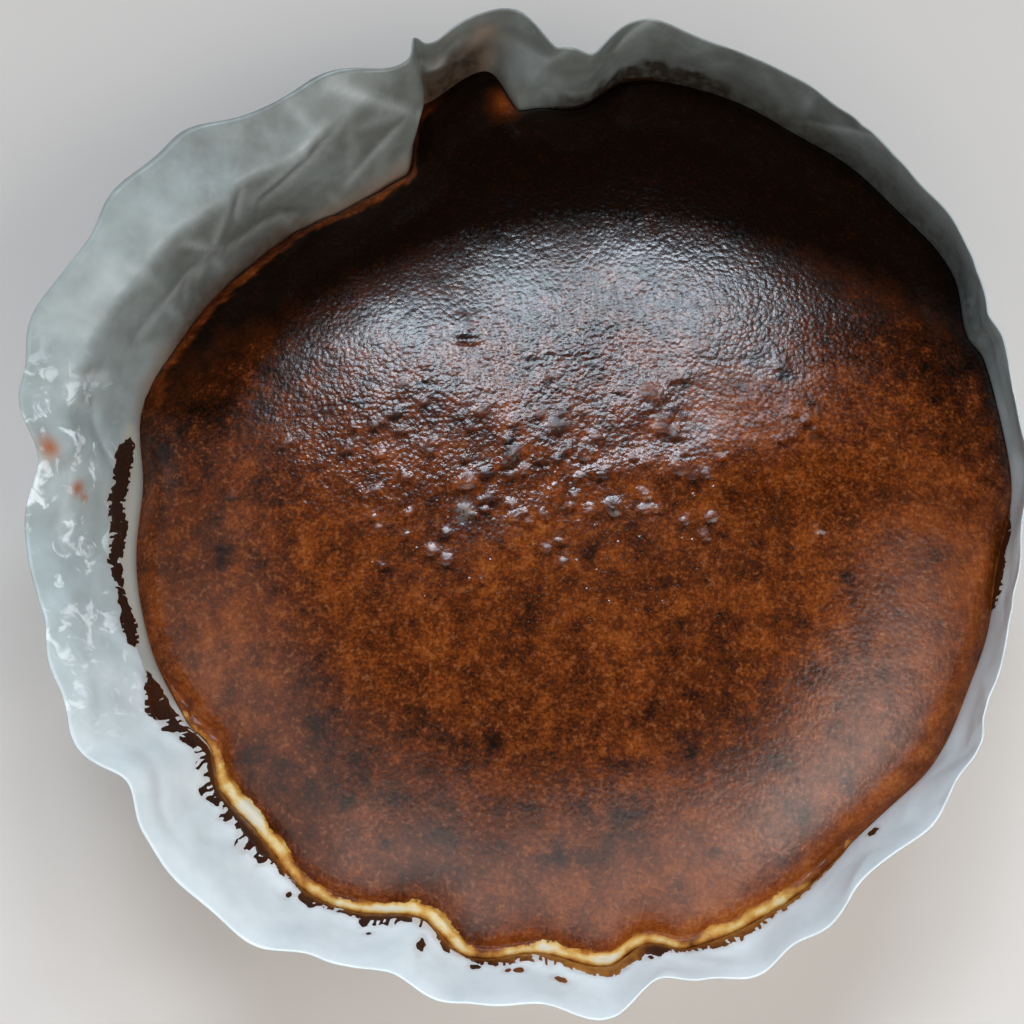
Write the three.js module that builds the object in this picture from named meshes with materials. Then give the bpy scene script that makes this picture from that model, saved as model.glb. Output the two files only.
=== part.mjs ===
// Basque cheesecake in the baking paper it was baked in: a domed, uncut cake and one pleated paper liner.
// Millimetres, +Z up. The origin is on the cake's axis at the underside of the paper, and -Y is the front.
// Angles are in degrees, counter-clockwise from +X as seen from above.
import * as THREE from 'three';

// Cake, sized from a round tin 23 cm across
const CAKE_RADIUS = 113.5; // mean plan radius at the rim
const OVAL = 2; // added to the radius front and back, taken off it at the sides
const RIM_HEIGHT = 50; // underside of the paper to the rim
const RIM_SWELL = 1.6; // how far the rim wanders up and down
const DOME_HEIGHT = 17; // middle of the top above the rim
const DOME_POWER = 2.2; // how flat the middle of the dome is
const SHOULDER_POWER = 0.62; // how steeply the dome rolls over to the rim
const LIP_WIDTH = 3; // thin ledge of crust left along the paper
const LIP_RISE = 0.9; // how far that ledge turns up at the paper
const TOP_SWELL = 0.7; // broad unevenness of the top
const BASE_TAPER = 0.965; // radius at the base as a share of the rim's
const BASE_FILLET = 6; // rounding of the bottom edge
const FOLD_AT_BASE = 0.35; // share of a fold's depth that is left at the base
const FOLD_REACH = 3; // how quickly a fold dies out from the rim to the middle of the top

// Paper
const PAPER_THICKNESS = 0.5;
const PAPER_GAP = 0.5; // play between the cake and the paper
const STAND_OFF = 1.3; // how far the paper bows away from the cake between its contact lines
const BEND_LENGTH = 9; // length over which the paper leaves the cake's side
const CREASE_LENGTH = 5; // length over which the paper turns out at its upper crease
const RUFFLE = 2.2; // waviness of the free edge
const RUFFLE_POWER = 1.5; // how late that waviness grows on the way up
const RUFFLE_LEAN = 20; // lean at which the paper is fully ruffled
const LEAST_RUFFLE = 0.25; // share of the ruffle on upright paper
const EDGE_SWELL = 1.4; // how unevenly the free edge is cut

// Unevenness round the cake as sums of waves: height, number of crests, phase
const SIDE_WAVES = [[0.5, 13, 1], [0.35, 21, 2.2]];
const RIM_WAVES = [[0.6, 2, 2.1], [0.4, 5, 0.4]];
const TOP_WAVES = [[1, 3, 0.7], [1, 5, 2.4], [1, 8, 1.1]];
const BOW_WAVES = [[0.3, 19, 0.3], [0.2, 31, 1.7]];
const EDGE_WAVES = [[0.5, 7, 0.9], [0.3, 12, 2], [0.2, 23, 0.2]];
const RUFFLE_WAVES = [[0.5, 17, 2.6], [0.3, 29, 0.8], [0.2, 41, 1.9]];

// Folds of the paper pressed into the cake: where, how deep, and how far each side takes to run out.
// A negative depth is a bulge.
const FOLDS = [
  { at: 116.5, depth: 18, ccw: 58, cw: 7 },
  { at: 101, depth: -5, ccw: 9, cw: 3.5 },
  { at: 97, depth: 8, ccw: 3, cw: 20 },
  { at: 88, depth: 4, ccw: 7, cw: 6 },
  { at: 74, depth: -3.4, ccw: 13, cw: 18 },
  { at: 40, depth: -4, ccw: 38, cw: 30 },
  { at: 22, depth: 2.2, ccw: 8, cw: 4 },
  { at: 180, depth: 2, ccw: 16, cw: 14 },
  { at: 216.5, depth: 2.6, ccw: 5, cw: 5 },
  { at: 237, depth: -3, ccw: 9, cw: 11 },
  { at: 251, depth: 5.6, ccw: 7, cw: 8 },
  { at: 252, depth: -2.6, ccw: 60, cw: 48 },
  { at: 266, depth: 2.2, ccw: 7, cw: 7 },
  { at: 278.5, depth: 3.6, ccw: 5, cw: 5 },
  { at: 340, depth: 3, ccw: 30, cw: 30 },
];

// The free paper above the rim: length of the standing part, its outward lean from upright,
// then length and lean of the part that turns out past the upper crease.
const BRIM = [
  { at: 2, rise: 11, lean: -3, fold: 1, foldLean: 4 },
  { at: 30, rise: 15, lean: 0, fold: 1, foldLean: 8 },
  { at: 60, rise: 19, lean: 3, fold: 1, foldLean: 15 },
  { at: 84, rise: 22, lean: 6, fold: 2, foldLean: 20 },
  { at: 97, rise: 21, lean: 8, fold: 2, foldLean: 20 },
  { at: 106, rise: 20, lean: 5, fold: 2, foldLean: 20 },
  { at: 116.5, rise: 30, lean: 26, fold: 3, foldLean: 36 },
  { at: 126, rise: 30, lean: 15, fold: 13, foldLean: 66 },
  { at: 142, rise: 29, lean: 12, fold: 19, foldLean: 72 },
  { at: 163, rise: 27, lean: 22, fold: 15, foldLean: 64 },
  { at: 190, rise: 26, lean: 33, fold: 8, foldLean: 52 },
  { at: 222, rise: 25, lean: 40, fold: 5, foldLean: 50 },
  { at: 252, rise: 17, lean: 40, fold: 3, foldLean: 48 },
  { at: 280, rise: 14, lean: 36, fold: 2, foldLean: 44 },
  { at: 310, rise: 16, lean: 26, fold: 2, foldLean: 36 },
  { at: 338, rise: 13, lean: 8, fold: 1, foldLean: 14 },
];

// The two tall folds at the back lean clockwise as they rise.
const PLEATS = [
  { at: 116.5, sideways: 9, clear: 20, ccw: 14, cw: 9 },
  { at: 97, sideways: 11, clear: 26, ccw: 8, cw: 14 },
];

// Angles of the mesh, closer together where the folds are: start, end and step
const SPANS = [[84, 120, 1.5], [120, 204, 3], [204, 300, 2], [300, 444, 3]];
const TOP_RINGS = [0.12, 0.24, 0.36, 0.48, 0.58, 0.67, 0.75, 0.82, 0.88, 0.93, 0.965, 0.987, 1];
const SIDE_RINGS = [1, 0.72, 0.44, 0.2];
const FILLET_RINGS = [0, 45, 90];
const FREE_RINGS = [0.12, 0.3, 0.55];
const FOLD_RINGS = [0.4, 1];
const WALK_STEP = 0.5;

const { clamp, degToRad: radians, euclideanModulo, lerp, radToDeg, smoothstep } = THREE.MathUtils;
const smooth = (x) => smoothstep(x, 0, 1);

function ripple(theta, waves) {
  return waves.reduce((sum, [height, crests, phase]) => {
    return sum + height * Math.sin(crests * radians(theta) + phase);
  }, 0);
}

// Signed angle from one direction to another, from -180 to 180
function turn(from, to) {
  return euclideanModulo(to - from + 180, 360) - 180;
}

// 1 at the middle of a fold, falling to 0 at the end of each of its two sides
function fade(theta, { at, ccw, cw }) {
  const away = turn(at, theta);
  return 1 - smooth(away > 0 ? away / ccw : -away / cw);
}

function foldDepth(theta) {
  return FOLDS.reduce((sum, fold) => sum + fold.depth * fade(theta, fold), 0);
}

// Plan radius of the cake's side: up is 0 at the base fillet and 1 at the rim
function sideRadius(theta, up) {
  const round = CAKE_RADIUS - OVAL * Math.cos(2 * radians(theta));
  const pressedIn = foldDepth(theta) * lerp(FOLD_AT_BASE, 1, up);
  return (round + ripple(theta, SIDE_WAVES)) * lerp(BASE_TAPER, 1, up) - pressedIn;
}

function rimHeight(theta) {
  return RIM_HEIGHT + RIM_SWELL * ripple(theta, RIM_WAVES);
}

// Height of the cake's top, where share is 0 at the middle and 1 at the foot of the dome
function topHeight(theta, share) {
  const dome = DOME_HEIGHT * (1 - share ** DOME_POWER) ** SHOULDER_POWER;
  const swell = TOP_SWELL * share * (1 - share) * ripple(theta, TOP_WAVES);
  return lerp(RIM_HEIGHT, rimHeight(theta), share) + dome + swell;
}

// How far the paper bows away from the cake
function standOff(theta) {
  const bow = 0.5 + ripple(theta, BOW_WAVES);
  return PAPER_GAP + STAND_OFF * bow * bow;
}

// The free paper at an angle, eased between the two nearest entries of BRIM
function brimAt(theta) {
  const angle = euclideanModulo(theta, 360);
  const next = BRIM.findIndex((entry) => entry.at > angle);
  const after = BRIM[next < 0 ? 0 : next];
  const before = BRIM.at(next < 0 ? -1 : next - 1);
  const span = euclideanModulo(after.at - before.at, 360);
  const share = smooth(euclideanModulo(angle - before.at, 360) / span);
  const ease = (key) => lerp(before[key], after[key], share);
  const rise = ease('rise') + EDGE_SWELL * ripple(theta, EDGE_WAVES);
  return { rise, lean: ease('lean'), fold: ease('fold'), foldLean: ease('foldLean') };
}

// A point in the upright plane at an angle, moved sideways along the circle
function place(theta, radius, height, sideways = 0) {
  const a = radians(theta);
  return new THREE.Vector3(
    radius * Math.cos(a) - sideways * Math.sin(a),
    radius * Math.sin(a) + sideways * Math.cos(a),
    height,
  );
}

// Radius, height and slope of the free paper at a length along it from the rim
function freePaper(theta, brim, length) {
  const startLean = radToDeg(Math.atan2((1 - BASE_TAPER) * CAKE_RADIUS, RIM_HEIGHT));
  let radius = sideRadius(theta, 1) + standOff(theta);
  let height = rimHeight(theta);
  let lean = startLean;
  for (let walked = 0; walked < length; walked += WALK_STEP) {
    const step = Math.min(WALK_STEP, length - walked);
    lean = lerp(startLean, brim.lean, smooth(walked / BEND_LENGTH));
    lean = lerp(lean, brim.foldLean, smooth((walked - brim.rise) / CREASE_LENGTH + 0.5));
    radius += step * Math.sin(radians(lean));
    height += step * Math.cos(radians(lean));
  }
  const grown = (length / (brim.rise + brim.fold)) ** RUFFLE_POWER;
  const loose = clamp(brim.lean / RUFFLE_LEAN, LEAST_RUFFLE, 1);
  radius += RUFFLE * loose * grown * ripple(theta, RUFFLE_WAVES);
  return { radius, height, lean };
}

// Points of one face of the paper at an angle, from the base to the free edge.
// Offset is 0 on the face towards the cake and the paper's thickness on the outer face.
function paperColumn(theta, offset) {
  const up = PAPER_THICKNESS - offset;
  const filletCentre = up + BASE_FILLET + offset;
  const base = sideRadius(theta, 0);
  const points = FILLET_RINGS.map((angle) => {
    const reach = BASE_FILLET + offset;
    const radius = base + standOff(theta) - BASE_FILLET + reach * Math.sin(radians(angle));
    return place(theta, radius, filletCentre - reach * Math.cos(radians(angle)));
  });
  for (const share of SIDE_RINGS.toReversed()) {
    const height = lerp(filletCentre, rimHeight(theta), share);
    points.push(place(theta, sideRadius(theta, share) + standOff(theta) + offset, height));
  }
  const brim = brimAt(theta);
  const lengths = FREE_RINGS.map((share) => share * brim.rise);
  lengths.push(brim.rise, ...FOLD_RINGS.map((share) => brim.rise + share * brim.fold));
  for (const length of lengths) {
    const { radius, height, lean } = freePaper(theta, brim, length);
    const sideways = PLEATS.reduce((sum, pleat) => {
      return sum - pleat.sideways * fade(theta, pleat) * smooth(length / pleat.clear);
    }, 0);
    const out = offset * Math.cos(radians(lean));
    points.push(place(theta, radius + out, height - offset * Math.sin(radians(lean)), sideways));
  }
  return points;
}

// Plan radius of the cake's top: round in the middle, taking on the folds towards the rim
function topRadius(theta, share) {
  const inward = CAKE_RADIUS - sideRadius(theta, 1);
  return (CAKE_RADIUS - LIP_WIDTH) * share - inward * share ** FOLD_REACH;
}

// Points of the cake's skin at an angle, from just off the middle of the top to the bottom edge
function cakeColumn(theta) {
  const points = TOP_RINGS.map((share) => place(theta, topRadius(theta, share), topHeight(theta, share)));
  const filletCentre = PAPER_THICKNESS + PAPER_GAP + BASE_FILLET;
  for (const share of SIDE_RINGS) {
    const lip = share === 1 ? LIP_RISE : 0;
    const height = lerp(filletCentre, rimHeight(theta), share) + lip;
    points.push(place(theta, sideRadius(theta, share), height));
  }
  for (const angle of FILLET_RINGS.toReversed()) {
    const radius = sideRadius(theta, 0) - BASE_FILLET + BASE_FILLET * Math.sin(radians(angle));
    points.push(place(theta, radius, filletCentre - BASE_FILLET * Math.cos(radians(angle))));
  }
  return points;
}

// A closed skin from a start point through columns of equal length to an end point.
// The first risingRows rows of quads are split along the other diagonal than the rest, so that both faces of
// a sheet, and the cake's side behind it, are split alike.
function closedSkin(start, columns, end, risingRows = 0) {
  const rows = columns[0].length;
  const vertices = [start, ...columns.flat(), end];
  const last = vertices.length - 1;
  const at = (column, row) => 1 + (column % columns.length) * rows + row;
  const triangles = [];
  for (let column = 0; column < columns.length; column += 1) {
    triangles.push(0, at(column, 0), at(column + 1, 0));
    for (let row = 0; row < rows - 1; row += 1) {
      const [a, b] = [at(column, row), at(column, row + 1)];
      const [c, d] = [at(column + 1, row + 1), at(column + 1, row)];
      triangles.push(...(row < risingRows ? [a, b, d, b, c, d] : [a, b, c, a, c, d]));
    }
    triangles.push(last, at(column + 1, rows - 1), at(column, rows - 1));
  }
  const geometry = new THREE.BufferGeometry().setFromPoints(vertices);
  geometry.setIndex(triangles);
  geometry.computeVertexNormals();
  return geometry;
}

const angles = SPANS.flatMap(([start, end, step]) => {
  return Array.from({ length: (end - start) / step }, (_, index) => start + index * step);
});

function makeCake() {
  const top = new THREE.Vector3(0, 0, topHeight(0, 0));
  const bottom = new THREE.Vector3(0, 0, PAPER_THICKNESS + PAPER_GAP);
  const crust = new THREE.MeshStandardMaterial({ color: 0x6b3414, roughness: 0.42, metalness: 0 });
  const cake = new THREE.Mesh(closedSkin(top, angles.map(cakeColumn), bottom), crust);
  cake.name = 'cake';
  return cake;
}

function makeLiner() {
  const columns = angles.map((theta) => [
    ...paperColumn(theta, 0),
    ...paperColumn(theta, PAPER_THICKNESS).reverse(),
  ]);
  const inside = new THREE.Vector3(0, 0, PAPER_THICKNESS);
  const outside = new THREE.Vector3(0, 0, 0);
  const parchment = new THREE.MeshStandardMaterial({ color: 0xc9cfca, roughness: 0.55, metalness: 0 });
  const liner = new THREE.Mesh(closedSkin(inside, columns, outside, columns[0].length / 2), parchment);
  liner.name = 'paper_liner';
  return liner;
}

const cheesecake = new THREE.Group();
cheesecake.add(makeCake(), makeLiner());

export default cheesecake;
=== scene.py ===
"""Looks of a basque cheesecake in its baking paper: skin, pale lip, paper, burnt film, lights and camera.

Lengths are in millimetres, apart from lights and floor, and angles in degrees counter-clockwise from +X.
"""
import math

import bpy
import numpy as np
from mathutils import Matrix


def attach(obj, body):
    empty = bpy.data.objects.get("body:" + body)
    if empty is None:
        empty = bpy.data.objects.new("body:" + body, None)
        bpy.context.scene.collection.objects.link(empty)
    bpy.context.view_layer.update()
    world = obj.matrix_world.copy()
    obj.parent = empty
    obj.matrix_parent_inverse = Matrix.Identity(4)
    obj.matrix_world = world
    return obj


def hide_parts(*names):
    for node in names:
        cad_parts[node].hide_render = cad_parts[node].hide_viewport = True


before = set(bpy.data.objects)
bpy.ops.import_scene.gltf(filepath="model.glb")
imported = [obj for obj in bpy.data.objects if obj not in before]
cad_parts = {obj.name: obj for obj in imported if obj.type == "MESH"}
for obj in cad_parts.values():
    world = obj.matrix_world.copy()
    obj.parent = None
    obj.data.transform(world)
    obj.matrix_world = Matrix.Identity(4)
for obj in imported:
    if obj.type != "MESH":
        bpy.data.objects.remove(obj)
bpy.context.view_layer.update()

MM = 0.001

# Cake, as in the solids
CAKE_RADIUS = 113.5
OVAL = 2.0
RIM_HEIGHT = 50.0
RIM_SWELL = 1.6
DOME_HEIGHT = 17.0
DOME_POWER = 2.2
SHOULDER_POWER = 0.62
LIP_WIDTH = 3.0
TOP_SWELL = 0.7
BASE_TAPER = 0.965
BASE_FILLET = 6.0
FOLD_AT_BASE = 0.35
MM_PER_DEGREE = np.radians(CAKE_RADIUS)  # along the rim

# Folds on the dome, which die out a little sooner than in the solids
FOLD_REACH = 4.0
CALM_TURNS = (-24, -16, -8, 0, 8, 16, 24)  # degrees to each side, over which the rim is evened out

# Paper, as in the solids
PAPER_THICKNESS = 0.5
PAPER_GAP = 0.5
STAND_OFF = 1.3
BOW_MIDDLE = 0.5
BEND_LENGTH = 9.0
CREASE_LENGTH = 5.0
RUFFLE = 2.2
RUFFLE_POWER = 1.5
RUFFLE_LEAN = 20.0
LEAST_RUFFLE = 0.25
EDGE_SWELL = 1.4

# Paper at the rim, where it lies closer to the cake than in the solids
RIM_GAP = 0.12
RIM_CLOSING = 0.75  # share of the side's height from which the gap closes
RIM_OPENING = 8.0  # length above the rim over which it opens again
FRONT_BEND = 4.5
FRONT_SPAN = (235, 85, 85)  # angle, reach each way

# Sums of waves: height, number of crests, phase
SIDE_WAVES = ((0.5, 13, 1), (0.35, 21, 2.2))
RIM_WAVES = ((0.6, 2, 2.1), (0.4, 5, 0.4))
TOP_WAVES = ((1, 3, 0.7), (1, 5, 2.4), (1, 8, 1.1))
BOW_WAVES = ((0.3, 19, 0.3), (0.2, 31, 1.7))
EDGE_WAVES = ((0.5, 7, 0.9), (0.3, 12, 2), (0.2, 23, 0.2))
RUFFLE_WAVES = ((0.5, 17, 2.6), (0.3, 29, 0.8), (0.2, 41, 1.9))

# Folds pressed into the cake, the one at 308 in the scene alone: angle, depth, reach each way
FOLDS = (
    (116.5, 18, 58, 7), (101, -5, 9, 3.5), (97, 8, 3, 20), (88, 4, 7, 6),
    (74, -3.4, 13, 18), (40, -4, 38, 30), (22, 2.2, 8, 4), (180, 2, 16, 14),
    (216.5, 2.6, 5, 5), (237, -3, 9, 11), (251, 5.6, 7, 8), (252, -2.6, 60, 48),
    (266, 2.2, 7, 7), (278.5, 3.6, 5, 5), (308, 4.2, 14, 12), (340, 3, 30, 30),
)

# Free paper: angle, standing length, its lean, turned-out length, its lean
BRIM = np.array((
    (2, 11, -3, 1, 4), (30, 15, 0, 1, 8), (60, 19, 3, 1, 15), (84, 22, 6, 2, 20),
    (97, 21, 8, 2, 20), (106, 20, 5, 2, 20), (116.5, 30, 26, 3, 36), (126, 30, 15, 13, 66),
    (142, 29, 12, 19, 72), (163, 27, 22, 15, 64), (190, 26, 33, 8, 52), (222, 25, 40, 5, 50),
    (252, 17, 40, 3, 48), (280, 14, 36, 2, 44), (310, 16, 26, 2, 36), (338, 13, 8, 1, 14),
), float)

# Tall folds that lean clockwise as they rise: angle, how far, over what length, reach each way
PLEATS = ((116.5, 9, 20, 14, 9), (97, 11, 26, 8, 14))


def lerp(a, b, share):
    return a + (b - a) * share


def smooth(x):
    x = np.clip(x, 0.0, 1.0)
    return x * x * (3 - 2 * x)


def between(x, low, high):
    """0 below low, 1 above high, and smooth between them."""
    return smooth((np.asarray(x, float) - low) / (high - low))


def ripple(theta, waves):
    return sum(h * np.sin(n * np.radians(theta) + phase) for h, n, phase in waves)


def turn(start, end):
    return np.mod(end - start + 180, 360) - 180


def fade(theta, at, ccw, cw):
    away = turn(at, theta)
    return 1 - smooth(np.where(away > 0, away / ccw, -away / cw))


def sector(theta, at, ccw, cw, soft=0.3):
    """1 round an angle and 0 beyond the reach each way, with soft ends."""
    return between(fade(theta, at, ccw, cw), 0, soft)


def squared_away(points, x, y, across, along):
    """Squared distance from a place, counted in half sizes."""
    return ((points[:, 0] - x) / across) ** 2 + ((points[:, 1] - y) / along) ** 2


def hump(points, x, y, across, along):
    """1 at a place and fading away from it over the half sizes."""
    return np.exp(-squared_away(points, x, y, across, along))


def fold_depth(theta):
    return sum(depth * fade(theta, at, ccw, cw) for at, depth, ccw, cw in FOLDS)


def side_radius(theta, up):
    plain = CAKE_RADIUS - OVAL * np.cos(2 * np.radians(theta)) + ripple(theta, SIDE_WAVES)
    return plain * lerp(BASE_TAPER, 1, up) - fold_depth(theta) * lerp(FOLD_AT_BASE, 1, up)


def rim_height(theta):
    return RIM_HEIGHT + RIM_SWELL * ripple(theta, RIM_WAVES)


def top_height(theta, share):
    dome = DOME_HEIGHT * np.maximum(1 - share**DOME_POWER, 0) ** SHOULDER_POWER
    swell = TOP_SWELL * share * (1 - share) * ripple(theta, TOP_WAVES)
    return lerp(RIM_HEIGHT, rim_height(theta), share) + dome + swell


def top_radius(theta, share):
    inward = CAKE_RADIUS - side_radius(theta, 1)
    return (CAKE_RADIUS - LIP_WIDTH) * share - inward * share**FOLD_REACH


def calm_share(theta, radius):
    """Share of the way to a rim without sharp folds, so that folds don't reach far into the dome."""
    inward = CAKE_RADIUS - sum(side_radius(theta + turned, 1) for turned in CALM_TURNS) / len(CALM_TURNS)
    full = CAKE_RADIUS - LIP_WIDTH
    return (radius + inward * (radius / full) ** FOLD_REACH) / full


def stand_off(theta, up=0.0):
    """Gap between cake and paper, which closes towards the rim."""
    bowed = PAPER_GAP + STAND_OFF * (BOW_MIDDLE + ripple(theta, BOW_WAVES)) ** 2
    return lerp(bowed, RIM_GAP, between(up, RIM_CLOSING, 1.0))


def bend_length(theta):
    """Length over which the paper bends outwards: short at the left and the front."""
    return lerp(BEND_LENGTH, FRONT_BEND, sector(theta, *FRONT_SPAN))


def brim_at(theta):
    """Standing length, lean, turned-out length and its lean at each angle."""
    angle = np.mod(theta, 360)
    after = np.searchsorted(BRIM[:, 0], angle, side="right") % len(BRIM)
    before = (after - 1) % len(BRIM)
    span = np.mod(BRIM[after, 0] - BRIM[before, 0], 360)
    share = smooth(np.mod(angle - BRIM[before, 0], 360) / span)
    rise, lean, fold, fold_lean = (lerp(BRIM[before, k], BRIM[after, k], share) for k in range(1, 5))
    return rise + EDGE_SWELL * ripple(theta, EDGE_WAVES), lean, fold, fold_lean


def place(theta, radius, height, sideways=0.0):
    a = np.radians(theta)
    x = radius * np.cos(a) - sideways * np.sin(a)
    y = radius * np.sin(a) + sideways * np.cos(a)
    return np.stack(np.broadcast_arrays(x, y, height), -1)


# Noise
NOISE_TABLE = 256
NOISE_WRAP = NOISE_TABLE - 1
NOISE_GAIN = 1.6
SEED_STEP = np.array((17.3, 5.9, 11.1))
PERM = np.random.default_rng(11).permutation(NOISE_TABLE)
GRAD = np.random.default_rng(12).normal(size=(NOISE_TABLE, 3))
GRAD /= np.linalg.norm(GRAD, axis=1)[:, None]


def noise(points, size, seed=0):
    """Smooth noise of about -1 to 1 with features of the given size."""
    scaled = points / size + SEED_STEP * (seed + 1)
    cell = np.floor(scaled).astype(int)
    within = scaled - cell
    ease = within**3 * (within * (6 * within - 15) + 10)
    total = np.zeros(scaled.shape[:-1])
    for corner in np.ndindex(2, 2, 2):
        at = (cell + corner) & NOISE_WRAP
        pick = PERM[at[..., 0]]
        for axis in (1, 2):
            pick = PERM[(pick + at[..., axis]) & NOISE_WRAP]
        weight = np.prod(np.where(np.array(corner) == 1, ease, 1 - ease), axis=-1)
        total += weight * np.sum(GRAD[pick] * (within - corner), axis=-1)
    return NOISE_GAIN * total


def clouds(points, size, octaves, gain=0.5, seed=0):
    """Noise with finer noise added to it."""
    return sum(gain**k * noise(points, size / 2**k, seed + k) for k in range(octaves))


# Meshes
def normals_of(points, quads):
    """Vertex normals of a mesh of quads."""
    a, b, c, d = (points[quads[:, k]] for k in range(4))
    face = np.cross(c - a, d - b)
    total = np.zeros_like(points)
    for k in range(4):
        np.add.at(total, quads[:, k], face)
    return total / np.maximum(np.linalg.norm(total, axis=1), 1e-12)[:, None]


def strip(first, second):
    """Quads between two closed rows of points."""
    return np.stack([first, np.roll(first, -1, -1), np.roll(second, -1, -1), second], -1)


def add_object(name, data):
    obj = bpy.data.objects.new(name, data)
    bpy.context.scene.collection.objects.link(obj)
    return obj


def make_piece(name, points, faces, materials, masks):
    """A smooth piece of the root, with masks as values at its points."""
    mesh = bpy.data.meshes.new(name)
    mesh.from_pydata((points * MM).tolist(), [], [list(map(int, f)) for f in faces])
    mesh.polygons.foreach_set("use_smooth", np.ones(len(mesh.polygons), bool))
    for key, values in masks.items():
        layer = mesh.attributes.new(key, "FLOAT", "POINT")
        layer.data.foreach_set("value", np.ascontiguousarray(values, np.float32))
    for material in materials:
        mesh.materials.append(material)
    piece = add_object(name, mesh)
    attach(piece, "root")
    return piece


# Materials
class Nodes:
    """Short calls for building one material."""

    def __init__(self, name):
        self.material = bpy.data.materials.new(name)
        self.material.use_nodes = True
        self.tree = self.material.node_tree
        self.shader = self.tree.nodes["Principled BSDF"]

    def add(self, kind, **settings):
        node = self.tree.nodes.new("ShaderNode" + kind)
        for key, value in settings.items():
            setattr(node, key, value)
        return node

    def put(self, node, key, value):
        """Sets an input of a node to a value or to another node's result."""
        if isinstance(value, bpy.types.NodeSocket):
            self.tree.links.new(value, node.inputs[key])
        else:
            node.inputs[key].default_value = value

    def give(self, key, value):
        self.put(self.shader, key, value)

    def mask(self, name):
        return self.add("Attribute", attribute_name=name).outputs["Fac"]

    def texture(self, kind, size_mm):
        """A texture in the piece's own coordinates, with features of the given size."""
        node = self.add(kind)
        self.put(node, "Vector", self.add("TexCoord").outputs["Object"])
        self.put(node, "Scale", 1 / (size_mm * MM))
        return node

    def noise(self, size_mm, detail=3.0, roughness=0.6, distortion=0.0):
        node = self.texture("TexNoise", size_mm)
        for key, number in (("Detail", detail), ("Roughness", roughness), ("Distortion", distortion)):
            self.put(node, key, number)
        return node.outputs["Fac"]

    def dots(self, size_mm, radius, kept):
        """Small round humps, 0 to 1, in some cells of the given size; radius is a share of the size."""
        node = self.texture("TexVoronoi", size_mm)
        chance = self.add("SeparateColor")
        self.put(chance, "Color", node.outputs["Color"])
        rounded = self.fit(node.outputs["Distance"], radius, 0.0)
        return self.times(rounded, self.math("LESS_THAN", chance.outputs["Red"], kept))

    def math(self, operation, a, b, clamp=False):
        node = self.add("Math", operation=operation, use_clamp=clamp)
        self.put(node, 0, a)
        self.put(node, 1, b)
        return node.outputs[0]

    def plus(self, a, b, clamp=False):
        return self.math("ADD", a, b, clamp)

    def times(self, a, b, clamp=False):
        return self.math("MULTIPLY", a, b, clamp)

    def swing(self, value, size):
        """A noise's value moved to swing about zero by the given size."""
        return self.times(self.math("SUBTRACT", value, 0.5), size)

    def fit(self, value, low, high, to_low=0.0, to_high=1.0):
        """A value eased from one range to another."""
        node = self.add("MapRange", interpolation_type="SMOOTHSTEP")
        self.put(node, "Value", value)
        for key, number in (("From Min", low), ("From Max", high), ("To Min", to_low), ("To Max", to_high)):
            self.put(node, key, number)
        return node.outputs["Result"]

    def ramp(self, value, stops):
        node = self.add("ValToRGB")
        self.put(node, "Fac", value)
        elements = node.color_ramp.elements
        while len(elements) < len(stops):
            elements.new(0.5)
        for element, (at, colour) in zip(elements, stops):
            element.position = at
            element.color = (*colour, 1)
        return node.outputs["Color"]

    def mix(self, share, a, b):
        node = self.add("Mix", data_type="RGBA")
        self.put(node, "Factor", share)
        colours = [k for k, socket in enumerate(node.inputs) if socket.type == "RGBA"]
        for k, value in zip(colours, (a, b)):
            self.put(node, k, (*value, 1) if isinstance(value, tuple) else value)
        return next(socket for socket in node.outputs if socket.type == "RGBA")

    def bump(self, height, depth_mm, strength=1.0):
        node = self.add("Bump")
        self.put(node, "Strength", strength)
        self.put(node, "Distance", depth_mm * MM)
        self.put(node, "Height", height)
        return node.outputs["Normal"]


# Colours of the crust: how burnt and how shaded it is, colour
CRUST_COLOURS = (
    (0.0, (0.350, 0.104, 0.020)),
    (0.25, (0.225, 0.049, 0.0068)),
    (0.5, (0.103, 0.0202, 0.0031)),
    (0.75, (0.031, 0.0066, 0.0012)),
    (1.0, (0.0045, 0.0018, 0.0008)),
)
# Painted glints: pale specks that stand in for tiny sparkles of light off the skin
GLINT_COLOUR = (0.30, 0.20, 0.14)
FRECKLE_COLOUR = (0.30, 0.115, 0.045)
SCAR_COLOUR = (0.12, 0.098, 0.082)

# Colours of the pale lip: tone from golden brown to white, colour
LIP_COLOURS = (
    (0.0, (0.14, 0.034, 0.004)),
    (0.25, (0.40, 0.145, 0.018)),
    (0.5, (0.61, 0.33, 0.072)),
    (0.75, (0.72, 0.55, 0.26)),
    (1.0, (0.69, 0.63, 0.50)),
)

# Colours of the paper: how greasy it is, with painted shade where it is darkest, colour
PAPER_COLOURS = (
    (0.0, (0.94, 0.98, 0.99)),
    (0.5, (0.52, 0.59, 0.59)),
    (1.0, (0.19, 0.198, 0.182)),
)
# Painted sheen: white streaks that stand in for window light off the greasy paper
SHEEN_COLOUR = (0.95, 0.99, 0.99)
# Painted highlight along the sharpest creases
CREASE_SHEEN_COLOUR = (0.80, 0.84, 0.84)
BEIGE_COLOUR = (0.42, 0.405, 0.35)
TAN_COLOUR = (0.42, 0.24, 0.14)
# Painted shade, with some soot, low on the paper by the rim and between the folds
SHADE_AND_SOOT_COLOUR = (0.030, 0.022, 0.016)
CHAR_COLOUR = (0.022, 0.009, 0.004)
SPOT_COLOUR = (0.42, 0.13, 0.045)

# Colours of the burnt film: how thick it is, colour
FILM_COLOURS = (
    (0.0, (0.46, 0.195, 0.036)),
    (0.25, (0.22, 0.066, 0.011)),
    (0.5, (0.070, 0.018, 0.0040)),
    (1.0, (0.019, 0.0058, 0.0020)),
)
FILM_SPECULAR = 0.4


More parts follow.
